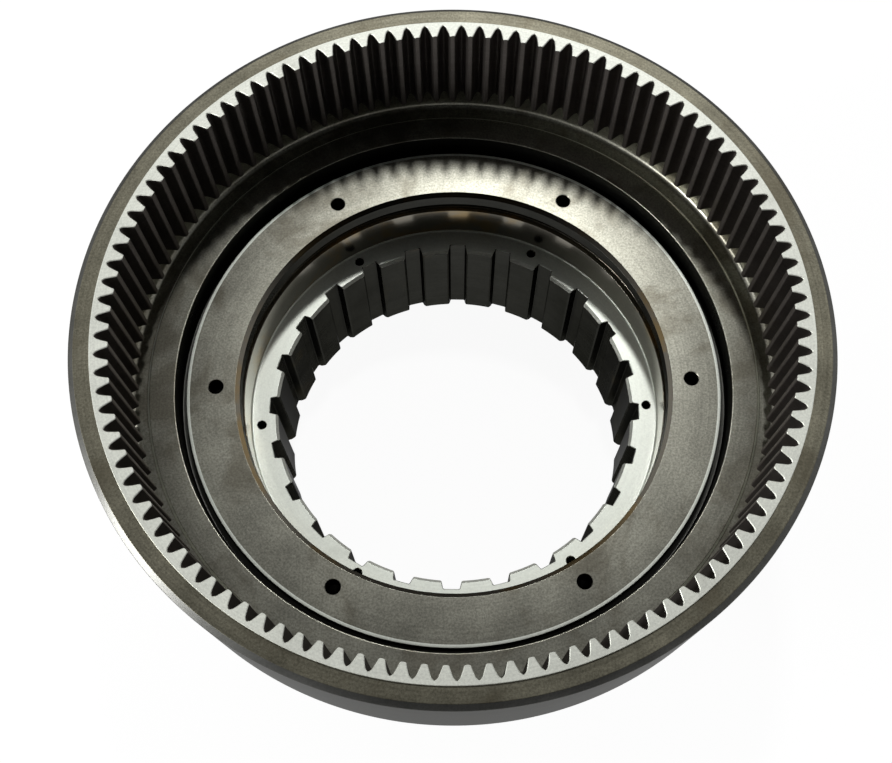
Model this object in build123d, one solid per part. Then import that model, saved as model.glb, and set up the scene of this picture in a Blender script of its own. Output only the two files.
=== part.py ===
from build123d import *
from math import acos, cos, pi, radians, sin, tan
import os

# Internal ring gear with a splined hub, turned, hobbed and broached from one forging.
# Millimetres. Origin at the centre of the hub's bottom face, +Z up along the axis.

# Internal gear teeth
module = 3.0
tooth_count = 111
pressure_angle = 20.0
addendum = 1.0  # in modules
dedendum = 1.25  # in modules
tooth_length = 52.0

# Rim round the teeth
ground_band = 2.15  # ground end face outside the tooth roots
outer_band = 10.6  # the rest of the rim's end face, out to the rim's wall
band_drop = 1.0  # the outer band lies this much below the ground face
rim_edge_width = 3.0
rim_edge_height = 2.0
rim_floor = 6.0  # metal below the run-out groove
rim_foot_chamfer = 4.0

# Run-out groove below the teeth, and the shelf inside it
runout_depth = 1.75  # deeper than the tooth roots
runout_length = 14.0
runout_chamfer = 3.0
shelf_clearance = 0.5  # the shelf stays inside the tooth tips
shelf_rise = 1.5  # the shelf stands this much above the run-out groove's floor
shelf_edge_width = 1.5  # its outer edge slopes down to that floor
shelf_width = 14.8

# Flange with its parting groove
groove_width = 4.0
groove_depth = 7.0
flange_drop = 9.0  # the flange face lies this much below the shelf
flange_edge_width = 2.6
flange_edge_height = 2.0
web_thickness = 18.5

# Bearing seat in the flange, with a snap ring groove
seat_diameter = 232.0
seat_depth = 37.0
seat_edge_width = 2.4
seat_edge_height = 1.7
ring_groove_inset = 8.7
ring_groove_width = 6.8
ring_groove_depth = 3.0

# Hub and its spline
overall_height = 180.0
hub_wall = 10.0  # round the bearing seat
hub_chamfer = 2.0
hub_root_chamfer = 4.0
ledge_width = 10.2
spline_count = 24
spline_depth = 4.8
spline_space_mouth = 11.2  # across a space at its open side
spline_space_floor = 9.0  # across the same space at its floor
spline_phase = -2.13
spline_top_chamfer = 1.6
spline_lead_in = 3.5

# Shoulder under the rim
shoulder_inset = 11.0  # in from the rim's wall
shoulder_slope = 35.0  # from the axis

# Blind holes
flange_hole_count = 6
flange_hole_diameter = 8.0
flange_hole_depth = 13.0
flange_hole_offset = -1.35  # hole circle, from the middle of the flange
ledge_hole_diameter = 5.0
ledge_hole_depth = 20.0
ledge_hole_inset = 4.55  # hole circle, outside the spline's floors
ledge_hole_sets = (0.0, 64.2)  # each set is three holes at 120 degrees

# Radii that follow from these sizes
pitch_radius = module * tooth_count / 2
base_radius = pitch_radius * cos(radians(pressure_angle))
tip_radius = pitch_radius - addendum * module
root_radius = pitch_radius + dedendum * module
ground_radius = root_radius + ground_band
rim_radius = ground_radius + outer_band
runout_wall = root_radius + runout_depth
shelf_radius = tip_radius - shelf_clearance
groove_outer = shelf_radius - shelf_width
flange_radius = groove_outer - groove_width
seat_radius = seat_diameter / 2
hub_radius = seat_radius + hub_wall
spline_floor_radius = seat_radius - ledge_width
spline_land_radius = spline_floor_radius - spline_depth

# Heights that follow from these sizes
ground_face = overall_height
outer_face = ground_face - band_drop
tooth_end = ground_face - tooth_length
runout_floor = tooth_end - runout_length
rim_bottom = runout_floor - rim_floor
shelf_face = runout_floor + shelf_rise
flange_face = shelf_face - flange_drop
groove_floor = flange_face - groove_depth
web_bottom = flange_face - web_thickness
ring_top = flange_face - ring_groove_inset
ring_bottom = ring_top - ring_groove_width
ledge_face = flange_face - seat_depth


def half_section():
    """The turned blank's section, from the axis out, before its teeth and splines are cut."""
    shoulder_top = rim_radius - shoulder_inset
    shoulder_foot = shoulder_top - (rim_bottom - web_bottom) * tan(radians(shoulder_slope))
    ring_floor = seat_radius + ring_groove_depth
    outline = Polyline(
        (spline_land_radius, 0),
        (hub_radius, 0),
        (hub_radius, web_bottom),
        (shoulder_foot, web_bottom),
        (shoulder_top, rim_bottom),
        (rim_radius, rim_bottom),
        (rim_radius, outer_face - rim_edge_height),
        (rim_radius - rim_edge_width, outer_face),
        (ground_radius, outer_face),
        (ground_radius, ground_face),
        (tip_radius, ground_face),
        (tip_radius, tooth_end),
        (runout_wall, tooth_end),
        (runout_wall, runout_floor),
        (shelf_radius, runout_floor),
        (shelf_radius - shelf_edge_width, shelf_face),
        (groove_outer, shelf_face),
        (groove_outer, groove_floor),
        (flange_radius, groove_floor),
        (flange_radius, flange_face - flange_edge_height),
        (flange_radius - flange_edge_width, flange_face),
        (seat_radius + seat_edge_width, flange_face),
        (seat_radius, flange_face - seat_edge_height),
        (seat_radius, ring_top),
        (ring_floor, ring_top),
        (ring_floor, ring_bottom),
        (seat_radius, ring_bottom),
        (seat_radius, ledge_face),
        (spline_land_radius, ledge_face),
        close=True,
    )
    section = make_face(outline)

    def at(*corners):
        """The section's vertices nearest to these corners."""
        return [section.vertices().sort_by_distance(Vector(*corner))[0] for corner in corners]

    section = chamfer(at((spline_land_radius, 0)), spline_lead_in)
    section = chamfer(at((hub_radius, 0)), hub_chamfer)
    section = chamfer(at((spline_land_radius, ledge_face)), spline_top_chamfer)
    section = chamfer(at((hub_radius, web_bottom)), hub_root_chamfer)
    section = chamfer(at((runout_wall, runout_floor)), runout_chamfer)
    section = chamfer(at((rim_radius, rim_bottom)), rim_foot_chamfer)
    return section


def flank_point(radius, side):
    """A point of a tooth space's involute flank: the space narrows outwards, to the root."""

    def involute(angle):
        return tan(angle) - angle

    half_space = pi / (2 * tooth_count) + involute(radians(pressure_angle))
    angle = side * (half_space - involute(acos(base_radius / radius)))
    return Vector(radius * cos(angle), radius * sin(angle))


def tooth_ring_outline():
    """The closed outline inside the internal teeth, one space centred on +X.

    Each flank is an arc through three points of its involute, within 0.003 mm of it.
    """
    pitch = 360 / tooth_count
    radii = (tip_radius, pitch_radius, root_radius)
    lower = [flank_point(radius, -1) for radius in radii]
    upper = [flank_point(radius, 1) for radius in reversed(radii)]
    space = [
        ThreePointArc(*lower),
        Line(lower[-1], upper[0]),
        ThreePointArc(*upper),
        Line(upper[-1], lower[0].rotate(Axis.Z, pitch)),
    ]
    return Wire([Rot(0, 0, i * pitch) * edge for i in range(tooth_count) for edge in space])


def spline_spaces():
    """The hub's broached spaces, each with a floor narrower than its mouth."""
    inside = spline_land_radius - spline_depth
    flare = (spline_space_mouth - spline_space_floor) / spline_depth
    inner_width = spline_space_mouth + flare * (spline_land_radius - inside)
    space = Polyline(
        (inside, -inner_width / 2),
        (spline_floor_radius, -spline_space_floor / 2),
        (spline_floor_radius, spline_space_floor / 2),
        (inside, inner_width / 2),
        close=True,
    )
    cutter = extrude(make_face(space), ledge_face)
    pitch = 360 / spline_count
    return [Rot(0, 0, spline_phase + i * pitch) * cutter for i in range(spline_count)]


def blind_holes():
    """The flange's ring of holes, and the smaller ones in the ledge beside the spline."""
    flange_circle = (seat_radius + flange_radius) / 2 + flange_hole_offset
    ledge_circle = spline_floor_radius + ledge_hole_inset
    below = (Align.CENTER, Align.CENTER, Align.MAX)
    flange_hole = Cylinder(flange_hole_diameter / 2, flange_hole_depth, align=below)
    ledge_hole = Cylinder(ledge_hole_diameter / 2, ledge_hole_depth, align=below)
    flange_places = PolarLocations(flange_circle, flange_hole_count)
    holes = [Pos(0, 0, flange_face) * place * flange_hole for place in flange_places]
    for start in ledge_hole_sets:
        ledge_places = PolarLocations(ledge_circle, 3, start_angle=start)
        holes += [Pos(0, 0, ledge_face) * place * ledge_hole for place in ledge_places]
    return holes


def ring_gear():
    blank = revolve(Plane.XZ * half_section(), Axis.Z)
    tooth_cutter = extrude(make_face(tooth_ring_outline()), tooth_length)
    blank -= Pos(0, 0, tooth_end) * tooth_cutter
    blank -= spline_spaces()
    blank -= blind_holes()
    return blank


os.makedirs("parts", exist_ok=True)
export_step(ring_gear(), "parts/ring_gear.step")
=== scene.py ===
from math import acos, ceil, cos, pi, radians, sin, tan

import bmesh
import bpy
from bpy.props import FloatProperty, FloatVectorProperty, IntProperty, PointerProperty, StringProperty
from bpy.types import Operator, Panel, PropertyGroup
from mathutils import Matrix, Vector


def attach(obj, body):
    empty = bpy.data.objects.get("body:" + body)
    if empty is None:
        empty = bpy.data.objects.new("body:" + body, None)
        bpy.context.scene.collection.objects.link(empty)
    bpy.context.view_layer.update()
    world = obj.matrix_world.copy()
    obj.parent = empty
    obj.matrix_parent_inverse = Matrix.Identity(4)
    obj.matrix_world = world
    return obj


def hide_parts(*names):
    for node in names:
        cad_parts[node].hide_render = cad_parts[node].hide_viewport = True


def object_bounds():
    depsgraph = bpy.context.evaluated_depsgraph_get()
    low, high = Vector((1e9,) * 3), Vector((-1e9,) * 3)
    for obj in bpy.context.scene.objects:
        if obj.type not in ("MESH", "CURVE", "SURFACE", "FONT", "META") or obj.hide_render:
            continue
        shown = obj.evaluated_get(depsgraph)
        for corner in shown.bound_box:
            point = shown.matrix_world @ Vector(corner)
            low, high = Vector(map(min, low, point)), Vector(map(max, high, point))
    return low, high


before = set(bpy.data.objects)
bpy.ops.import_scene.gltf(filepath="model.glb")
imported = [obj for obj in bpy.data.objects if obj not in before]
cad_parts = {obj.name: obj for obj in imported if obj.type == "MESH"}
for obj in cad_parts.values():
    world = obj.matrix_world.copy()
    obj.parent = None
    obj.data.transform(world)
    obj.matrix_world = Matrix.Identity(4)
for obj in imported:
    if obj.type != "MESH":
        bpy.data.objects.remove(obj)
CAD_LOW, CAD_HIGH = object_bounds()

bl_info = {
    "name": "Internal ring gear",
    "version": (1, 0, 0),
    "blender": (4, 5, 0),
    "location": "View3D > Sidebar > Ring gear",
    "description": "Dresses the packed ring gear: cut teeth and splines, machined steel, a pale studio",
    "category": "Object",
}

MM = 0.001


# ---------------------------------------------------------------- sizes and finishes

def length_setting(name, description, millimetres):
    """A length that a user may change, given in millimetres and shown in scene units."""
    return FloatProperty(
        name=name, description=description, default=millimetres * MM, unit="LENGTH", precision=5,
    )


def angle_setting(name, description, degrees):
    """An angle that a user may change."""
    return FloatProperty(
        name=name, description=description, default=radians(degrees), subtype="ANGLE", unit="ROTATION",
    )


def count_setting(name, description, default, least):
    """A whole number that a user may change."""
    return IntProperty(name=name, description=description, default=default, min=least)


def number_setting(name, description, default, **limits):
    """A plain number that a user may change."""
    return FloatProperty(name=name, description=description, default=default, **limits)


def place_setting(name, description, default):
    """A place in the scene that a user may change."""
    return FloatVectorProperty(
        name=name, description=description, default=default, subtype="TRANSLATION", unit="LENGTH",
    )


def pair_setting(name, description, default, **limits):
    """Two numbers, across and up, that a user may change."""
    return FloatVectorProperty(name=name, description=description, default=default, size=2, **limits)


def colour_setting(name, description, hex_text):
    """An sRGB colour, as six hex digits, that a user may change."""
    return StringProperty(name=name, description=description, default=hex_text)


class GearSizes(PropertyGroup):
    """Sizes of the turned blank and of what is cut into it."""

    module: length_setting("Module", "Module of the internal teeth", 3.0)
    tooth_count: count_setting("Teeth", "Number of internal teeth", 111, 12)
    pressure_angle: angle_setting("Pressure angle", "Angle of the tooth flanks at the pitch circle", 20.0)
    tooth_length: length_setting("Tooth length", "Face width of the internal teeth", 52.0)
    tooth_break: length_setting("Tooth edge break", "Chamfer round the tooth ends", 0.35)
    spline_count: count_setting("Spline spaces", "Number of spaces in the hub", 24, 4)
    spline_phase: angle_setting("Spline phase", "Angle of the first spline space", -2.13)
    spline_mouth: length_setting("Space mouth", "Width of a spline space at its open side", 11.2)
    spline_floor: length_setting("Space floor", "Width of a spline space at its floor", 9.0)
    spline_depth: length_setting("Spline depth", "From the lands to the floors of the spaces", 4.8)
    spline_break: length_setting("Spline edge break", "Chamfer along the edges of the spline lands", 0.45)
    seat_diameter: length_setting("Seat diameter", "Bearing seat inside the flange", 232.0)
    flange_hole: length_setting("Flange hole", "Diameter of the flange's blind holes", 8.0)
    flange_hole_depth: length_setting("Flange hole depth", "Depth of the flange's blind holes", 13.0)
    flange_hole_count: count_setting("Flange holes", "Number of holes in the flange", 6, 1)
    ledge_hole: length_setting("Ledge hole", "Diameter of the small holes beside the spline", 5.0)
    ledge_hole_depth: length_setting("Ledge hole depth", "Depth of the small holes beside the spline", 20.0)
    ledge_hole_count: count_setting("Ledge holes", "Number of small holes in each of their two sets", 3, 1)
    ledge_hole_turn: angle_setting("Ledge hole turn", "From one set of small holes to the other", 64.2)
    hole_break: length_setting("Hole edge break", "Chamfer at the mouth of each hole", 0.3)
    segments: count_setting("Segments", "Flat steps round the turned blank", 444, 48)


class SteelFinishes(PropertyGroup):
    """Colours of the steel's finishes, as sRGB hex."""

    turned: colour_setting("Turned steel", "Satin turned flange and shelf", "9B9A8E")
    rim: colour_setting("Rim steel", "Darker turned band round the tooth ends", "7B7869")
    # Partly painted shade: darker than the rim's band for the shaded floor that the outer wall mirrors.
    outside: colour_setting("Outside steel", "Cooler, darker outside of the rim, web and hub", "62625F")
    ground: colour_setting("Ground steel", "Bright ground tooth ends and edges", "E2E4DB")
    # The same pale colour is a painted highlight on the strip along the flange's edge.
    faced: colour_setting("Faced steel", "Bright finely faced ledge and edge of the flange", "EAEEE4")
    shaped: colour_setting("Shaped steel", "Tooth flanks", "635E5A")
    bored: colour_setting("Bored steel", "Finely bored bearing seat", "78746A")
    # Dark steel: partly the spline's own tone, partly painted shade in the spline, holes, grooves and the
    # seat's upper wall.
    broached_and_painted_shade: colour_setting("Broached steel", "Spline, and walls of holes and grooves", "3E3E3B")
    # The golden colour is a painted reflection, laid in pools in the bored seat.
    film: colour_setting("Golden film", "Thin golden film of oil in the bored seat", "94783F")
    oil: colour_setting("Oil", "Thin brown oil film left on the other faces", "5E5747")


class StudioSettings(PropertyGroup):
    """The floor, the room's light, the two lights and the camera."""

    floor: colour_setting("Floor", "Pale paper under the gear", "F4F4F4")
    horizon: number_setting("Horizon", "Brightness of the pale wall low down", 0.8, min=0)
    behind: number_setting("Behind", "Brightness of the room behind the gear", 0.7, min=0)
    front: number_setting("Front", "Brightness of the room in front", 0.0, min=0)
    overhead: number_setting("Overhead", "Brightness straight above", 0.06, min=0)
    key: number_setting("Key", "Power of the light above and behind the gear", 5.0, unit="POWER")
    key_size: pair_setting("Key size", "Width and height of the key light", (0.11, 0.11), unit="LENGTH")
    key_place: place_setting("Key place", "Where the key light hangs", (0.08, 0.674, 1.3))
    fill: number_setting("Fill", "Power of the soft light at the left", 22.0, unit="POWER")
    fill_size: pair_setting("Fill size", "Width and height of the fill light", (0.5, 0.4), unit="LENGTH")
    fill_place: place_setting("Fill place", "Where the fill light stands", (-1.721, -0.526, 0.73))
    light_aim: place_setting("Light aim", "Point that both lights face", (0.0, 0.0, 0.11))
    lens: number_setting("Lens", "Focal length on a 36 mm sensor", 42.924, min=10)
    camera_place: place_setting("Camera place", "Where the camera stands", (-0.00430, -0.23046, 0.63785))
    camera_aim: place_setting("Camera aim", "Middle of the unshifted view", (0.00507, -0.08957, 0.18))
    camera_roll: angle_setting("Camera roll", "Turn of the camera about its line of sight", 2.514)
    camera_shift: pair_setting("Camera shift", "Lens shift right and up, in frame widths", (-0.0267, 0.1334))


# ---------------------------------------------------------------- geometry of the cut forms

def placed(name, data):
    """A new object for a mesh, a lamp or a camera, linked to the scene."""
    new = bpy.data.objects.new(name, data)
    bpy.context.scene.collection.objects.link(new)
    return new


def lofted(name, loops):
    """A closed solid through closed loops of equally many points, from its lowest to its highest."""
    same_point = 1e-7
    mesh = bpy.data.meshes.new(name)
    count = len(loops[0])
    points = [point for loop in loops for point in loop]
    faces = [tuple(reversed(range(count))), tuple(range(len(points) - count, len(points)))]
    for level in range(len(loops) - 1):
        low, high = level * count, (level + 1) * count
        for i in range(count):
            j = (i + 1) % count
            faces.append((low + i, low + j, high + j, high + i))
    mesh.from_pydata(points, [], faces)
    tidy = bmesh.new()
    tidy.from_mesh(mesh)
    bmesh.ops.remove_doubles(tidy, verts=tidy.verts, dist=same_point)
    bmesh.ops.recalc_face_normals(tidy, faces=tidy.faces)
    tidy.to_mesh(mesh)
    tidy.free()
    return placed(name, mesh)


def grown(outline, distance):
    """A closed anticlockwise outline of (x, y) points, moved outwards by a distance."""
    least_slant = 0.5  # a sharp corner moves by twice the distance at most
    result = []
    for i, point in enumerate(outline):
        before = (point - outline[i - 1]).normalized()
        after = (outline[(i + 1) % len(outline)] - point).normalized()
        bisector = Vector((before.y + after.y, -before.x - after.x)).normalized()
        slant = max(least_slant, bisector.dot(Vector((before.y, -before.x))))
        result.append(point + bisector * (distance / slant))
    return result


def stacked(outline, steps):
    """Loops of an outline at heights, each grown outwards by its own distance."""
    return [[Vector((p.x, p.y, height)) for p in grown(outline, growth)] for height, growth in steps]


def mirrored(half):
    """A closed anticlockwise outline about the X axis, from its upper half's points, inside to outside."""
    on_axis = 1e-9
    lower = [Vector((p.x, -p.y)) for p in half]
    upper = [p for p in reversed(half) if p.y > on_axis]
    return lower + upper


class Form:
    """Radii and heights of the gear, in metres, worked out from its sizes and the CAD box."""

    def __init__(self, sizes):
        self.top = CAD_HIGH.z
        self.rim = CAD_HIGH.x

        # Full-depth teeth, in a ground band that stands proud of the turned face outside it.
        addendum, dedendum = sizes.module, 1.25 * sizes.module
        self.pitch = sizes.module * sizes.tooth_count / 2
        self.base = self.pitch * cos(sizes.pressure_angle)
        self.tip = self.pitch - addendum
        self.root = self.pitch + dedendum
        self.ground = self.root + 2.15 * MM
        self.outer_face = self.top - 1.0 * MM
        self.tooth_end = self.top - sizes.tooth_length

        # The run-out groove that the gear cutter needs, the rim's foot, and the chamfered shelf.
        self.runout_wall = self.root + 1.75 * MM
        self.runout_floor = self.tooth_end - 14.0 * MM
        self.rim_foot = self.runout_floor - 6.0 * MM
        self.shelf_chamfer = 1.5 * MM
        self.shelf = self.tip - 0.5 * MM
        self.shelf_face = self.runout_floor + self.shelf_chamfer

        # The parting groove, the flange with a narrow flat strip at its edge that carries a painted
        # highlight, and the web under it.
        self.groove = self.shelf - 14.8 * MM
        self.flange = self.groove - 4.0 * MM
        self.flange_face = self.shelf_face - 9.0 * MM
        self.flange_strip = 1.7 * MM
        self.groove_floor = self.flange_face - 7.0 * MM
        self.web_foot = self.flange_face - 18.5 * MM

        # The bearing seat with its snap ring groove, and the ledge at its foot.
        self.seat = sizes.seat_diameter / 2
        self.ring_top = self.flange_face - 8.7 * MM
        self.ring_foot = self.ring_top - 6.8 * MM
        self.ring_floor = self.seat + 3.0 * MM
        self.ledge = self.flange_face - 37.0 * MM

        # The hub and its spline, and the circles that the holes are drilled on.
        self.hub = self.seat + 10.0 * MM
        self.spline_floor = self.seat - 10.2 * MM
        self.spline_land = self.spline_floor - sizes.spline_depth
        self.flange_circle = (self.seat + self.flange) / 2 - 1.35 * MM
        self.ledge_circle = self.spline_floor + 4.55 * MM


def blank_corners(form):
    """Corners of the blank's half section, anticlockwise from the hub's foot.

    Each is (radius, height, rounding), and a rounding of 0 leaves the corner as it is.
    """
    shoulder_slope = radians(35.0)
    shoulder = form.rim - 11.0 * MM
    shoulder_foot = shoulder - (form.rim_foot - form.web_foot) * tan(shoulder_slope)
    hub_chamfer = 2.0 * MM
    rim_chamfer, rim_chamfer_height = 3.0 * MM, 2.0 * MM
    strip_drop = 0.1 * MM
    seat_chamfer, seat_chamfer_height = 2.4 * MM, 1.7 * MM
    land_chamfer = 1.6 * MM
    lead_in = 3.5 * MM
    sharp, soft = 0.25 * MM, 0.5 * MM
    return [
        # Outside, from the hub up to the rim.
        (form.spline_land + lead_in, 0.0, soft),
        (form.hub - hub_chamfer, 0.0, soft),
        (form.hub, hub_chamfer, soft),
        (form.hub, form.web_foot, 5.0 * MM),
        (shoulder_foot, form.web_foot, 4.0 * MM),
        (shoulder, form.rim_foot, 4.0 * MM),
        (form.rim, form.rim_foot, 4.5 * MM),
        (form.rim, form.outer_face - rim_chamfer_height, soft),
        (form.rim - rim_chamfer, form.outer_face, soft),
        # Inwards over the tooth ends, and down past the teeth into the run-out groove.
        (form.ground, form.outer_face, sharp),
        (form.ground, form.top, sharp),
        (form.tip, form.top, 0.0),
        (form.tip, form.tooth_end, 0.0),
        (form.runout_wall, form.tooth_end, 0.0),
        (form.runout_wall, form.runout_floor, 3.5 * MM),
        # Shelf, parting groove and flange.
        (form.shelf, form.runout_floor, soft),
        (form.shelf - form.shelf_chamfer, form.shelf_face, soft),
        (form.groove, form.shelf_face, soft),
        (form.groove, form.groove_floor, 1.0 * MM),
        (form.flange, form.groove_floor, 1.0 * MM),
        (form.flange, form.flange_face - strip_drop, sharp),
        (form.flange - form.flange_strip, form.flange_face, 0.0),
        # Down the bearing seat, with its snap ring groove, and through the hub.
        (form.seat + seat_chamfer, form.flange_face, sharp),
        (form.seat, form.flange_face - seat_chamfer_height, sharp),
        (form.seat, form.ring_top, sharp),
        (form.ring_floor, form.ring_top, 0.4 * MM),
        (form.ring_floor, form.ring_foot, 0.4 * MM),
        (form.seat, form.ring_foot, sharp),
        (form.seat, form.ledge, 0.8 * MM),
        (form.spline_land + land_chamfer, form.ledge, sharp),
        (form.spline_land, form.ledge - land_chamfer, sharp),
        (form.spline_land, lead_in, sharp),
    ]


def rounded_section(corners):
    """The section's points with each corner rounded."""
    share_of_side = 0.45  # what a rounding may take of the edge beside it
    large = 2.0 * MM
    coarse_step, fine_step = radians(24.0), radians(12.0)
    points = []
    for i, (radius, height, rounding) in enumerate(corners):
        corner = Vector((radius, height))
        if rounding == 0:
            points.append(corner)
            continue
        before = Vector(corners[i - 1][:2]) - corner
        after = Vector(corners[(i + 1) % len(corners)][:2]) - corner
        half_turn = before.angle(after) / 2
        setback = min(
            rounding / tan(half_turn), share_of_side * before.length, share_of_side * after.length,
        )
        radius_here = setback * tan(half_turn)
        inward = (before.normalized() + after.normalized()).normalized()
        centre = corner + inward * (radius_here / sin(half_turn))
        start = corner + before.normalized() * setback - centre
        turn = start.angle_signed(corner + after.normalized() * setback - centre)
        steps = ceil(abs(turn) / (fine_step if rounding > large else coarse_step))
        for step in range(steps + 1):
            points.append(centre + Matrix.Rotation(-turn * step / steps, 2) @ start)
    return points


def flank(form, sizes, radius):
    """A point of the tooth space's upper flank, an involute that closes outwards."""

    def involute(angle):
        return tan(angle) - angle

    half_space = pi / (2 * sizes.tooth_count) + involute(sizes.pressure_angle)
    angle = half_space - involute(acos(form.base / radius))
    return Vector((radius * cos(angle), radius * sin(angle)))


def tooth_space(form, sizes):
    """The cutter for one space of the internal teeth: broken tips, involute flanks, a full root fillet."""
    tip_break = 0.3 * MM
    fillet = 1.3 * MM
    fillet_width = 0.45  # of the space's half width at the root circle
    flank_steps, fillet_steps = 5, 4
    tip = flank(form, sizes, form.tip)
    start = flank(form, sizes, form.tip + tip_break)
    slope = Vector((form.tip, tip.y + tip_break)) - start
    half = [start + slope * 3, start]
    deep = form.root - fillet - form.tip - tip_break
    half += [
        flank(form, sizes, form.tip + tip_break + deep * i / flank_steps) for i in range(1, flank_steps + 1)
    ]
    foot = half[-1]
    root = Vector((form.root, 0.0))
    bend = Vector((form.root, fillet_width * flank(form, sizes, form.root).y))
    for i in range(1, fillet_steps):
        t = i / fillet_steps
        half.append(foot * (1 - t) ** 2 + bend * 2 * t * (1 - t) + root * t ** 2)
    half.append(root)
    broken = sizes.tooth_break
    beyond = 0.4 * MM
    return lofted("tooth_space", stacked(mirrored(half), [
        (form.tooth_end - beyond, broken + beyond),
        (form.tooth_end + broken, 0.0),
        (form.top - broken, 0.0),
        (form.top + beyond, broken + beyond),
    ]))


def spline_space(form, sizes):
    """The cutter for one space of the hub's spline: sloping flanks and small floor corners."""
    edge = sizes.spline_break
    corner = 0.5 * MM
    corner_bulge = 0.3 * corner
    mouth, floor = sizes.spline_mouth / 2, sizes.spline_floor / 2
    slope = (mouth - floor) / sizes.spline_depth
    land, base = form.spline_land, form.spline_floor
    inside = 2.0 * MM
    half = [
        Vector((land - inside, mouth + edge + inside)),
        Vector((land, mouth + edge)),
        Vector((land + edge, mouth - slope * edge)),
        Vector((base - corner, floor + slope * corner)),
        Vector((base - corner_bulge, floor - corner_bulge)),
        Vector((base, floor - corner)),
        Vector((base, 0.0)),
    ]
    broken = 0.4 * MM
    beyond = 0.6 * MM
    return lofted("spline_space", stacked(mirrored(half), [
        (-beyond, broken + beyond),
        (broken, 0.0),
        (form.ledge - broken, 0.0),
        (form.ledge + beyond, broken + beyond),
    ]))


def drill(name, circle, face, diameter, depth, broken):
    """The cutter for one blind hole on a circle, with a broken mouth and the drill's point."""
    radius = diameter / 2
    point, point_flat = 0.6 * radius, 0.02 * radius
    beyond = 0.5 * MM
    levels = [
        (face - depth - point, point_flat),
        (face - depth, radius),
        (face - broken, radius),
        (face + beyond, radius + broken + beyond),
    ]
    sides = 40
    turns = [2 * pi * i / sides for i in range(sides)]
    return lofted(name, [
        [Vector((circle + r * cos(a), r * sin(a), z)) for a in turns] for z, r in levels
    ])


def section_object(form):
    """The blank's half section as a closed loop of edges.

    X runs outwards from the tip circle and Y downwards, as the sweep round the turning circle takes it.
    """
    points = rounded_section(blank_corners(form))
    mesh = bpy.data.meshes.new("blank_section")
    edges = [(i, (i + 1) % len(points)) for i in range(len(points))]
    mesh.from_pydata([(p.x - form.tip, -p.y, 0.0) for p in reversed(points)], edges, [])
    return placed("blank_section", mesh)


# ---------------------------------------------------------------- node building

def add(tree, kind, settings=None, inputs=None):
    """Adds a node: settings are its properties, inputs are values or sockets to link from."""
    node = tree.nodes.new(kind)
    for name, value in (settings or {}).items():
        setattr(node, name, value)
    for key, value in (inputs or {}).items():
        socket = node.inputs[key]
        if isinstance(value, bpy.types.NodeSocket):
            tree.links.new(value, socket)
        else:
            socket.default_value = value
    return node


SMOOTH = {"interpolation_type": "SMOOTHSTEP"}
WHITE = (1.0, 1.0, 1.0, 1.0)


def span(value, start, end, low, high):
    """Inputs of a Map Range node: its result goes from low to high as the value goes from start to end."""
    return {"Value": value, "From Min": start, "From Max": end, "To Min": low, "To Max": high}


def new_group(name, inputs, output):
    """A geometry node group with the named inputs and output, each a (name, kind of socket) pair."""
    tree = bpy.data.node_groups.new(name, "GeometryNodeTree")
    for label, kind in inputs:
        tree.interface.new_socket(label, in_out="INPUT", socket_type="NodeSocket" + kind)
    tree.interface.new_socket(output[0], in_out="OUTPUT", socket_type="NodeSocket" + output[1])
    return tree, tree.nodes.new("NodeGroupInput"), tree.nodes.new("NodeGroupOutput")


GEOMETRY = ("Geometry", "Geometry")


def ring_of_copies():
    """Group: copies of a geometry turned evenly about the Z axis, from a start angle."""
    tree, source, result = new_group(
        "ring_of_copies", [GEOMETRY, ("Count", "Int"), ("Start", "Float")], GEOMETRY
    )
    points = add(tree, "GeometryNodePoints", inputs={"Count": source.outputs["Count"]})
    index = add(tree, "GeometryNodeInputIndex")
    step = add(tree, "ShaderNodeMath", {"operation": "DIVIDE"}, {0: 2 * pi, 1: source.outputs["Count"]})
    bearing = add(tree, "ShaderNodeMath", {"operation": "MULTIPLY_ADD"},
                  {0: index.outputs[0], 1: step.outputs[0], 2: source.outputs["Start"]})
    turn = add(tree, "ShaderNodeCombineXYZ", inputs={"Z": bearing.outputs[0]})
    copies = add(tree, "GeometryNodeInstanceOnPoints", inputs={
        "Points": points.outputs[0], "Instance": source.outputs["Geometry"], "Rotation": turn.outputs[0],
    })
    real = add(tree, "GeometryNodeRealizeInstances", inputs={"Geometry": copies.outputs[0]})
    tree.links.new(real.outputs[0], result.inputs[0])
    return tree


def ring_window():
    """Group: whether the middle of a face lies between two radii and between two heights."""
    limits = ("Radius from", "Radius to", "Height from", "Height to")
    tree, source, result = new_group(
        "ring_window", [(limit, "Float") for limit in limits], ("Selection", "Bool")
    )
    place = add(tree, "GeometryNodeInputPosition")
    parts = add(tree, "ShaderNodeSeparateXYZ", inputs={0: place.outputs[0]})
    flat = add(tree, "ShaderNodeVectorMath", {"operation": "MULTIPLY"},
               {0: place.outputs[0], 1: (1.0, 1.0, 0.0)})
    radius = add(tree, "ShaderNodeVectorMath", {"operation": "LENGTH"}, {0: flat.outputs[0]})
    measures = [radius.outputs["Value"]] * 2 + [parts.outputs["Z"]] * 2
    tests = [
        add(tree, "FunctionNodeCompare", {"data_type": "FLOAT", "operation": operation},
            {0: measure, 1: source.outputs[limit]}).outputs[0]
        for limit, measure, operation in zip(limits, measures, ("GREATER_THAN", "LESS_THAN") * 2)
    ]
    inside = tests[0]
    for test in tests[1:]:
        inside = add(tree, "FunctionNodeBooleanMath", {"operation": "AND"}, {0: inside, 1: test}).outputs[0]
    tree.links.new(inside, result.inputs[0])
    return tree


FINISHES = ("Turned", "Rim", "Outside", "Shaped", "Ground", "Faced", "Bored", "Broached")
CUTTERS = ("Tooth space", "Spline space", "Flange drill", "Ledge drill A", "Ledge drill B")
SHARP_EDGE = radians(28.0)


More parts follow.
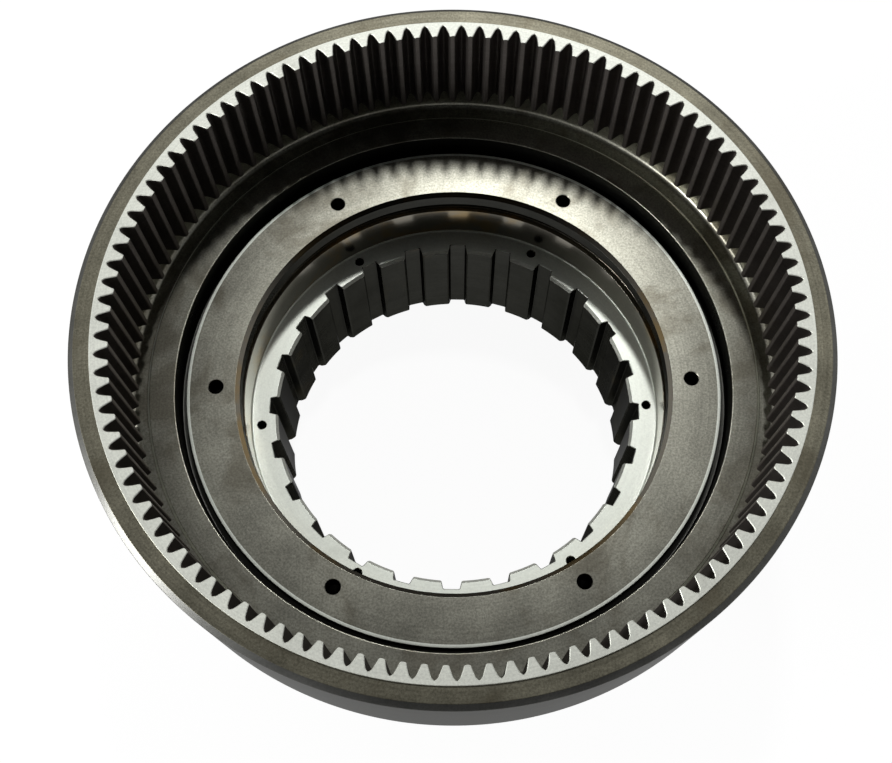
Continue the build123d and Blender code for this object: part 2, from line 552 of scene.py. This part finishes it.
def finish_windows(form):
    """Where each finish lies, later ones on top; what is in no window stays turned.

    Each is (finish, radius from, radius to, height from, height to), and takes a face whose middle is in it.
    """
    near, far = 0.15 * MM, 1.0  # just past a face, and past the whole gear
    mouth = 0.35 * MM  # below the broken mouth of a hole
    skin = 0.02 * MM
    return [
        # The dark band on top of the rim.
        ("Rim", form.ground - near, far, form.rim_foot - far, form.top - near),
        # The rim's outside, the shoulder and web, the hub's wall and its lower end, in a darker steel that is
        # partly painted shade.
        ("Outside", form.ground + near, far, form.rim_foot, form.outer_face - near),
        ("Outside", form.groove + 2.0 * MM, far, -far, form.runout_floor - 2.0 * MM),
        ("Outside", form.hub - 3.0 * MM, far, -far, form.web_foot + near),
        ("Outside", 0.0, form.hub, -far, near),
        # The tooth spaces, then the tooth ends and the shelf's chamfer.
        ("Shaped", form.tip - near, form.root + near, form.tooth_end - near, form.top - near),
        ("Ground", form.tip - near, form.ground + near, form.top - 0.5 * MM, far),
        ("Ground", form.shelf - form.shelf_chamfer - near, form.shelf + near,
         form.runout_floor + near, form.shelf_face - near),
        # The strip along the flange's edge, a painted highlight in the pale faced steel.
        ("Faced", form.flange - form.flange_strip, form.flange,
         form.flange_face - 0.4 * MM, form.flange_face - skin),
        # The parting groove below that strip, and its outer wall up to the shelf, in the dark steel as
        # painted shade.
        ("Broached", form.flange - near, form.groove + near,
         form.groove_floor - near, form.flange_face - 0.45 * MM),
        ("Broached", form.groove - near, form.groove + near,
         form.flange_face - 1.0 * MM, form.shelf_face - 0.4 * MM),
        # The flange holes, in the dark steel as painted shade.
        ("Broached", form.seat + 5.0 * MM, form.flange - 3.0 * MM,
         form.flange_face - 16.0 * MM, form.flange_face - mouth),
        # The bearing seat with its groove, and its upper wall, which is darker: painted shade in the dark
        # steel.
        ("Bored", form.seat - near, form.ring_floor + near, form.ledge + near, form.flange_face - near),
        ("Broached", form.seat - near, form.seat + near, form.ring_top, form.flange_face - near),
        # The spline, partly painted shade in the dark steel, and the ledge holes, painted shade in it; then
        # the ledge and the chamfers of the spline lands.
        ("Broached", 0.0, form.spline_floor + 1.0 * MM, near, form.ledge - near),
        ("Broached", form.ledge_circle - 3.0 * MM, form.ledge_circle + 3.0 * MM, near, form.ledge - mouth),
        ("Faced", 0.0, form.seat + near, form.ledge - near, form.ledge + 1.0 * MM),
        ("Ground", form.spline_land + near, form.spline_land + 1.5 * MM, form.ledge - 1.5 * MM, form.ledge),
    ]


def gear_tree(form):
    """Group: turns the half section into a blank, cuts teeth, spline and holes, and finishes each face."""
    inputs = [GEOMETRY, ("Segments", "Int"), ("Turning radius", "Float")]
    for label in CUTTERS:
        inputs += [(label, "Object"), (label + " count", "Int"), (label + " start", "Float")]
    inputs += [("Edge angle", "Float")] + [(finish, "Material") for finish in FINISHES]
    tree, source, result = new_group("machined_gear", inputs, GEOMETRY)

    # The blank, turned half a step so that its edges keep clear of the middle of each tooth and space.
    profile = add(tree, "GeometryNodeMeshToCurve", inputs={"Mesh": source.outputs["Geometry"]})
    circle = add(tree, "GeometryNodeCurvePrimitiveCircle", {"mode": "RADIUS"},
                 {"Resolution": source.outputs["Segments"], "Radius": source.outputs["Turning radius"]})
    upright = add(tree, "GeometryNodeSetCurveNormal", {"mode": "Z_UP"}, {"Curve": circle.outputs[0]})
    swept = add(tree, "GeometryNodeCurveToMesh", inputs={
        "Curve": upright.outputs[0], "Profile Curve": profile.outputs[0],
    })
    half_step = add(tree, "ShaderNodeMath", {"operation": "DIVIDE"}, {0: pi, 1: source.outputs["Segments"]})
    off_centre = add(tree, "ShaderNodeCombineXYZ", inputs={"Z": half_step.outputs[0]})
    blank = add(tree, "GeometryNodeTransform", inputs={
        "Geometry": swept.outputs[0], "Rotation": off_centre.outputs[0],
    })

    # A ring of each cutter, and all of them taken out of the blank at once.
    copier = ring_of_copies()
    cutters = []
    for label in CUTTERS:
        cutter = add(tree, "GeometryNodeObjectInfo", inputs={"Object": source.outputs[label]})
        ring = add(tree, "GeometryNodeGroup", {"node_tree": copier}, {
            "Geometry": cutter.outputs["Geometry"],
            "Count": source.outputs[label + " count"],
            "Start": source.outputs[label + " start"],
        })
        cutters.append(ring.outputs[0])
    cut = add(tree, "GeometryNodeMeshBoolean", {"operation": "DIFFERENCE", "solver": "MANIFOLD"},
              {"Mesh 1": blank.outputs[0]})
    for cutter in cutters:
        tree.links.new(cutter, cut.inputs["Mesh 2"])

    # Round faces shade smooth, and edges past the edge angle stay sharp.
    smooth = add(tree, "GeometryNodeSetShadeSmooth", {"domain": "FACE"}, {"Geometry": cut.outputs[0]})
    turn = add(tree, "GeometryNodeInputMeshEdgeAngle")
    sharp = add(tree, "FunctionNodeCompare", {"data_type": "FLOAT", "operation": "GREATER_THAN"},
                {0: turn.outputs["Unsigned Angle"], 1: source.outputs["Edge angle"]})
    edges = add(tree, "GeometryNodeSetShadeSmooth", {"domain": "EDGE"},
                {"Geometry": smooth.outputs[0], "Selection": sharp.outputs[0], "Shade Smooth": False})

    real = add(tree, "GeometryNodeRealizeInstances", inputs={"Geometry": edges.outputs[0]})
    finished = add(tree, "GeometryNodeSetMaterial",
                   inputs={"Geometry": real.outputs[0], "Material": source.outputs["Turned"]})
    window = ring_window()
    for finish, *limits in finish_windows(form):
        place = add(tree, "GeometryNodeGroup", {"node_tree": window}, dict(enumerate(limits)))
        finished = add(tree, "GeometryNodeSetMaterial", inputs={
            "Geometry": finished.outputs[0], "Selection": place.outputs[0],
            "Material": source.outputs[finish],
        })
    tree.links.new(finished.outputs[0], result.inputs[0])
    return tree


def run_tree(carrier, tree, values):
    """Runs a node group on an object and returns the result as a plain mesh."""
    modifier = carrier.modifiers.new(tree.name, "NODES")
    modifier.node_group = tree
    for item in tree.interface.items_tree:
        if item.in_out == "INPUT" and item.name in values:
            modifier[item.identifier] = values[item.name]
    flat_faces = carrier.modifiers.new("flat_faces_stay_flat", "WEIGHTED_NORMAL")
    flat_faces.keep_sharp = True
    flat_faces.weight = 100
    graph = bpy.context.evaluated_depsgraph_get()
    evaluated = carrier.evaluated_get(graph)
    return bpy.data.meshes.new_from_object(evaluated, preserve_all_data_layers=True, depsgraph=graph)


# ---------------------------------------------------------------- materials

def linear(hex_text, alpha=1.0):
    """An sRGB hex colour as linear RGBA."""
    parts = [int(hex_text[i:i + 2], 16) / 255 for i in (0, 2, 4)]
    return tuple(c / 12.92 if c <= 0.04045 else ((c + 0.055) / 1.055) ** 2.4 for c in parts) + (alpha,)


def around_axis(tree):
    """Sockets for a point of the gear: its place, its radius, its height and its direction from the axis."""
    place = add(tree, "ShaderNodeTexCoord")
    parts = add(tree, "ShaderNodeSeparateXYZ", inputs={0: place.outputs["Object"]})
    flat = add(tree, "ShaderNodeCombineXYZ", inputs={"X": parts.outputs["X"], "Y": parts.outputs["Y"]})
    radius = add(tree, "ShaderNodeVectorMath", {"operation": "LENGTH"}, {0: flat.outputs[0]})
    direction = add(tree, "ShaderNodeVectorMath", {"operation": "NORMALIZE"}, {0: flat.outputs[0]})
    return place.outputs["Object"], radius.outputs["Value"], parts.outputs["Z"], direction.outputs[0]


def steel(name, base_hex, oil_hex, roughness, marks, depth, grain, cloud, oil, tint=1.0, metal=1.0):
    """Steel cut on a lathe, grinder, shaper or broach, under a thin film of oil.

    marks is the spacing of its tool marks and depth their height, in millimetres. grain and cloud are how
    much lighter and darker the face is in fine specks and in soft patches, and oil how much the film covers.
    tint is how far the metal brightens where it is seen along its surface, and metal is a little lower where
    a matt skin covers it.
    """
    material = bpy.data.materials.new(name)
    material.use_nodes = True
    tree = material.node_tree
    shader = tree.nodes["Principled BSDF"]
    shader.inputs["Metallic"].default_value = metal
    shader.inputs["Specular Tint"].default_value = (tint, tint, tint, 1.0)
    place, radius, height, direction = around_axis(tree)

    # One turn of the tool after another: bands that change along the radius and the height, and hardly
    # round the axis.
    drift = 1.5
    across = add(tree, "ShaderNodeMath", {"operation": "ADD"}, {0: radius, 1: height})
    feed = add(tree, "ShaderNodeMath", {"operation": "DIVIDE"}, {0: across.outputs[0], 1: marks * MM})
    turned = add(tree, "ShaderNodeVectorMath", {"operation": "SCALE"}, {0: direction, "Scale": drift})
    lift = add(tree, "ShaderNodeCombineXYZ", inputs={"Z": feed.outputs[0]})
    along = add(tree, "ShaderNodeVectorMath", {"operation": "ADD"},
                {0: turned.outputs[0], 1: lift.outputs[0]})
    lines = add(tree, "ShaderNodeTexNoise", inputs={
        "Vector": along.outputs[0], "Scale": 1.0, "Detail": 3.0, "Roughness": 0.65,
    })

    # Patches about 25 mm across, where handling and heat treatment left the face lighter or darker.
    patches = add(tree, "ShaderNodeTexNoise", inputs={
        "Vector": place, "Scale": 1 / (25.0 * MM), "Detail": 4.0, "Roughness": 0.6,
    })
    light = add(tree, "ShaderNodeMapRange", inputs=span(
        patches.outputs["Fac"], 0.25, 0.75, 1 - cloud, 1 + cloud,
    ))
    streak = add(tree, "ShaderNodeMapRange", inputs=span(
        lines.outputs["Fac"], 0.2, 0.8, 1 - cloud, 1 + cloud,
    ))

    # Specks about 1 mm across, for the matt crystals of the skin and the grit's cuts. The real ones are a
    # hundredth of that, too fine to show.
    specks = add(tree, "ShaderNodeTexNoise", inputs={
        "Vector": place, "Scale": 1 / (1.1111 * MM), "Detail": 2.0, "Roughness": 0.7,
    })
    speck = add(tree, "ShaderNodeMapRange", inputs=span(
        specks.outputs["Fac"], 0.3, 0.7, 1 - grain, 1 + grain,
    ))

    # The oil's film lies in ragged pools about 45 mm across; more oil lowers the level that it shows from.
    film = add(tree, "ShaderNodeTexNoise", inputs={
        "Vector": place, "Scale": 1 / (45.4545 * MM), "Detail": 5.0, "Roughness": 0.62, "Distortion": 0.6,
    })
    shore = 0.62 - 0.3 * oil
    wet = add(tree, "ShaderNodeMapRange", SMOOTH, span(film.outputs["Fac"], shore, shore + 0.16, 0.0, oil))

    even = add(tree, "ShaderNodeMath", {"operation": "MULTIPLY"}, {0: light.outputs[0], 1: streak.outputs[0]})
    value = add(tree, "ShaderNodeMath", {"operation": "MULTIPLY"}, {0: even.outputs[0], 1: speck.outputs[0]})
    clean = add(tree, "ShaderNodeVectorMath", {"operation": "SCALE"},
                {0: linear(base_hex)[:3], "Scale": value.outputs[0]})
    base = add(tree, "ShaderNodeMix", {"data_type": "RGBA"}, {
        "Factor": wet.outputs[0], 6: clean.outputs[0], 7: linear(oil_hex),
    })
    tree.links.new(base.outputs[2], shader.inputs["Base Color"])
    dull = add(tree, "ShaderNodeMapRange", inputs=span(
        patches.outputs["Fac"], 0.25, 0.75, roughness * 0.94, roughness * 1.07,
    ))
    tree.links.new(dull.outputs[0], shader.inputs["Roughness"])
    bump = add(tree, "ShaderNodeBump", inputs={
        "Strength": 1.0, "Distance": depth * MM, "Height": lines.outputs["Fac"],
    })
    tree.links.new(bump.outputs[0], shader.inputs["Normal"])
    return material


def gear_steels(finishes):
    """The gear's steels, by finish."""
    oil, film = finishes.oil, finishes.film
    return {
        # Turned after hardening: fine even rings, a satin mirror with faint patches and brown pools of oil.
        "Turned": steel("hardened_steel_turned", finishes.turned, oil, roughness=0.34,
                        marks=0.9, depth=0.004, grain=0.3, cloud=0.16, oil=0.5),
        # Turned before hardening and blackened by it: duller, darker and blotchy.
        "Rim": steel("black_steel_turned", finishes.rim, oil, roughness=0.42,
                     marks=1.2, depth=0.01, grain=0.3, cloud=0.26, oil=0.45, tint=0.35),
        # Skimmed before hardening: the same black skin, more even and a little smoother, cool grey. It is
        # kept darker than the rim's band partly as painted shade, for the shaded floor that the outer wall
        # mirrors.
        "Outside": steel("black_steel_skimmed_and_painted_shade", finishes.outside, oil, roughness=0.37,
                         marks=1.2, depth=0.01, grain=0.12, cloud=0.2, oil=0.2, tint=0.35),
        # Shaped gear teeth, cut along the axis: dull, and dark in the roots.
        "Shaped": steel("steel_gear_shaped", finishes.shaped, oil, roughness=0.5,
                        marks=1.5, depth=0.01, grain=0.12, cloud=0.14, oil=0.2, tint=0.4, metal=0.95),
        # Ground last: bright and matt, a soft even white under broad light.
        "Ground": steel("steel_ground", finishes.ground, oil, roughness=0.6,
                        marks=0.8, depth=0.004, grain=0.1, cloud=0.08, oil=0.15),
        # Finely faced last of all: a little brighter and smoother than ground. On the ledge this is the
        # steel's own tone; on the strip along the flange's edge it is a painted highlight.
        "Faced": steel("steel_fine_faced_and_painted_highlight", finishes.faced, oil, roughness=0.47,
                       marks=0.8, depth=0.004, grain=0.06, cloud=0.05, oil=0.12),
        # Bored to size: a mirror with fine rings, with a painted golden reflection in pools laid out like its
        # oil.
        "Bored": steel("steel_fine_bored", finishes.bored, film, roughness=0.2,
                       marks=0.8, depth=0.004, grain=0.04, cloud=0.08, oil=0.55),
        # Broached through: dark partly as painted shade, for the shade that the spline mirrors, and dark also
        # where it is seen along its surface. The same dark colour is painted shade in the holes, the parting
        # groove and the seat's upper wall.
        "Broached": steel("steel_broached_and_painted_shade", finishes.broached_and_painted_shade, oil, roughness=0.38,
                          marks=1.5, depth=0.006, grain=0.1, cloud=0.12, oil=0.2, tint=0.3),
    }


def white_paper(floor_hex):
    """Matt white paper, white behind the gear and in its metal, which keeps the gear's soft shadow."""
    shadow_hex, glow_strength = "5C5C5C", 0.94
    material = bpy.data.materials.new("matt_white_paper")
    material.use_nodes = True
    tree = material.node_tree
    tree.nodes.remove(tree.nodes["Principled BSDF"])
    paper = add(tree, "ShaderNodeBsdfDiffuse", inputs={"Color": linear(floor_hex)})
    shaded = add(tree, "ShaderNodeBsdfDiffuse", inputs={"Color": linear(shadow_hex)})
    glow = add(tree, "ShaderNodeEmission", inputs={"Color": WHITE, "Strength": glow_strength})
    seen = add(tree, "ShaderNodeAddShader", inputs={0: glow.outputs[0], 1: shaded.outputs[0]})
    path = add(tree, "ShaderNodeLightPath")
    sharp = add(tree, "ShaderNodeMath", {"operation": "MAXIMUM"},
                {0: path.outputs["Is Camera Ray"], 1: path.outputs["Is Glossy Ray"]})
    direct = add(tree, "ShaderNodeMath", {"operation": "MAXIMUM"},
                 {0: sharp.outputs[0], 1: path.outputs["Is Transmission Ray"]})
    both = add(tree, "ShaderNodeMixShader",
               inputs={0: direct.outputs[0], 1: paper.outputs[0], 2: seen.outputs[0]})
    tree.links.new(both.outputs[0], tree.nodes["Material Output"].inputs["Surface"])
    return material


def room(studio):
    """The room round the gear: a pale wall low down; above it, bright behind, dark in front and overhead."""
    world = bpy.data.worlds.new("studio_room")
    world.use_nodes = True
    tree = world.node_tree
    way = add(tree, "ShaderNodeTexCoord")
    parts = add(tree, "ShaderNodeSeparateXYZ", inputs={0: way.outputs["Generated"]})

    # From the front to the back, and from 50 to 75 degrees up into the dim part overhead.
    side = add(tree, "ShaderNodeMapRange", SMOOTH, span(
        parts.outputs["Y"], -0.35, 0.45, studio.front, studio.behind,
    ))
    upper = add(tree, "ShaderNodeMapRange", SMOOTH, span(
        parts.outputs["Z"], sin(radians(50.0)), sin(radians(75.0)), 0.0, 1.0,
    ))
    sky = add(tree, "ShaderNodeMix", {"data_type": "FLOAT"},
              {0: upper.outputs[0], 2: side.outputs[0], 3: studio.overhead})

    # The wall ends softly between 14 and 23 degrees up, and stands higher at the left.
    higher_at_left = 0.15
    lean = add(tree, "ShaderNodeMapRange", SMOOTH, span(parts.outputs["X"], -0.9, -0.2, higher_at_left, 0.0))
    rise = add(tree, "ShaderNodeMath", {"operation": "SUBTRACT"}, {0: parts.outputs["Z"], 1: lean.outputs[0]})
    above_wall = add(tree, "ShaderNodeMapRange", SMOOTH, span(
        rise.outputs[0], sin(radians(14.0)), sin(radians(23.0)), 0.0, 1.0,
    ))
    level = add(tree, "ShaderNodeMix", {"data_type": "FLOAT"},
                {0: above_wall.outputs[0], 2: studio.horizon, 3: sky.outputs[0]})
    background = tree.nodes["Background"]
    background.inputs["Color"].default_value = WHITE
    tree.links.new(level.outputs[0], background.inputs["Strength"])
    return world


def soft_light(name, power, size, place, aim):
    """A rectangular soft light, its width level, facing a point."""
    lamp = bpy.data.lights.new(name, "AREA")
    lamp.shape = "RECTANGLE"
    lamp.size, lamp.size_y = size
    lamp.energy = power
    light = placed(name, lamp)
    place, aim = Vector(place), Vector(aim)
    facing = (aim - place).to_track_quat("-Z", "Y").to_matrix()
    light.matrix_world = Matrix.Translation(place) @ facing.to_4x4()
    return light


def floor_sheet(reach):
    """A square floor at the gear's foot, that far to each side of it."""
    mesh = bpy.data.meshes.new("floor")
    corners = [(-reach, -reach, 0), (reach, -reach, 0), (reach, reach, 0), (-reach, reach, 0)]
    mesh.from_pydata(corners, [], [(0, 1, 2, 3)])
    return placed("floor", mesh)


def studio_camera(studio):
    """The camera, at its place and aimed, rolled and shifted."""
    lens = bpy.data.cameras.new("camera")
    lens.lens = studio.lens
    lens.sensor_width = 36.0
    lens.shift_x, lens.shift_y = studio.camera_shift
    camera = placed("camera", lens)
    place, aim = Vector(studio.camera_place), Vector(studio.camera_aim)
    upright = (aim - place).to_track_quat("-Z", "Y").to_matrix()
    rolled = upright @ Matrix.Rotation(studio.camera_roll, 3, "Z")
    camera.matrix_world = Matrix.Translation(place) @ rolled.to_4x4()
    return camera


# ---------------------------------------------------------------- operators

class RINGGEAR_OT_gear(Operator):
    """Machine the gear from its blank and put it in the place of the plain CAD solid"""

    bl_idname = "ringgear.gear"
    bl_label = "Machine the gear"

    def execute(self, context):
        sizes = context.scene.gear_sizes
        form = Form(sizes)
        blank = section_object(form)
        tooth = tooth_space(form, sizes)
        spline = spline_space(form, sizes)
        flange_drill = drill("flange_drill", form.flange_circle, form.flange_face,
                             sizes.flange_hole, sizes.flange_hole_depth, sizes.hole_break)
        ledge_drill = drill("ledge_drill", form.ledge_circle, form.ledge,
                            sizes.ledge_hole, sizes.ledge_hole_depth, sizes.hole_break)
        # For each cutter: its object, how many times it cuts, and the angle of its first cut.
        rings = {
            "Tooth space": (tooth, sizes.tooth_count, 0.0),
            "Spline space": (spline, sizes.spline_count, sizes.spline_phase),
            "Flange drill": (flange_drill, sizes.flange_hole_count, 0.0),
            "Ledge drill A": (ledge_drill, sizes.ledge_hole_count, 0.0),
            "Ledge drill B": (ledge_drill, sizes.ledge_hole_count, sizes.ledge_hole_turn),
        }
        values = {"Segments": sizes.segments, "Turning radius": form.tip, "Edge angle": SHARP_EDGE}
        values.update(gear_steels(context.scene.steel_finishes))
        for label, (cutter, count, start) in rings.items():
            values[label] = cutter
            values[label + " count"] = count
            values[label + " start"] = start
        mesh = run_tree(blank, gear_tree(form), values)
        mesh.name = "machined_ring_gear"
        for helper in (blank, tooth, spline, flange_drill, ledge_drill):
            bpy.data.objects.remove(helper)
        gear = placed("machined_ring_gear", mesh)
        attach(gear, "root")
        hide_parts("ring_gear")
        return {"FINISHED"}


class RINGGEAR_OT_stage(Operator):
    """Lay the pale floor, light the room and set up the camera"""

    bl_idname = "ringgear.stage"
    bl_label = "Set the stage"

    def execute(self, context):
        studio = context.scene.studio_settings
        floor = floor_sheet(reach=3.0)
        floor.data.materials.append(white_paper(studio.floor))
        context.scene.world = room(studio)
        soft_light("key_behind", studio.key, studio.key_size, studio.key_place, studio.light_aim)
        soft_light("fill_left", studio.fill, studio.fill_size, studio.fill_place, studio.light_aim)
        context.scene.camera = studio_camera(studio)
        context.scene.view_settings.view_transform = "Standard"
        return {"FINISHED"}


class RINGGEAR_PT_build(Panel):
    """Buttons that build the gear and its stage"""

    bl_label = "Ring gear"
    bl_idname = "RINGGEAR_PT_build"
    bl_space_type = "VIEW_3D"
    bl_region_type = "UI"
    bl_category = "Ring gear"

    def draw(self, context):
        for operator in OPERATORS:
            self.layout.operator(operator.bl_idname)


GROUPS = {"gear_sizes": GearSizes, "steel_finishes": SteelFinishes, "studio_settings": StudioSettings}
OPERATORS = (RINGGEAR_OT_gear, RINGGEAR_OT_stage)
CLASSES = (*GROUPS.values(), *OPERATORS, RINGGEAR_PT_build)


def register():
    """Registers the classes and gives each scene their settings."""
    for cls in CLASSES:
        bpy.utils.register_class(cls)
    for name, group in GROUPS.items():
        setattr(bpy.types.Scene, name, PointerProperty(type=group))


def unregister():
    """Takes the settings and classes away again."""
    for name in GROUPS:
        delattr(bpy.types.Scene, name)
    for cls in reversed(CLASSES):
        bpy.utils.unregister_class(cls)


def main():
    """Builds the gear and its stage."""
    register()
    bpy.ops.ringgear.gear()
    bpy.ops.ringgear.stage()


if __name__ == "__main__":
    main()
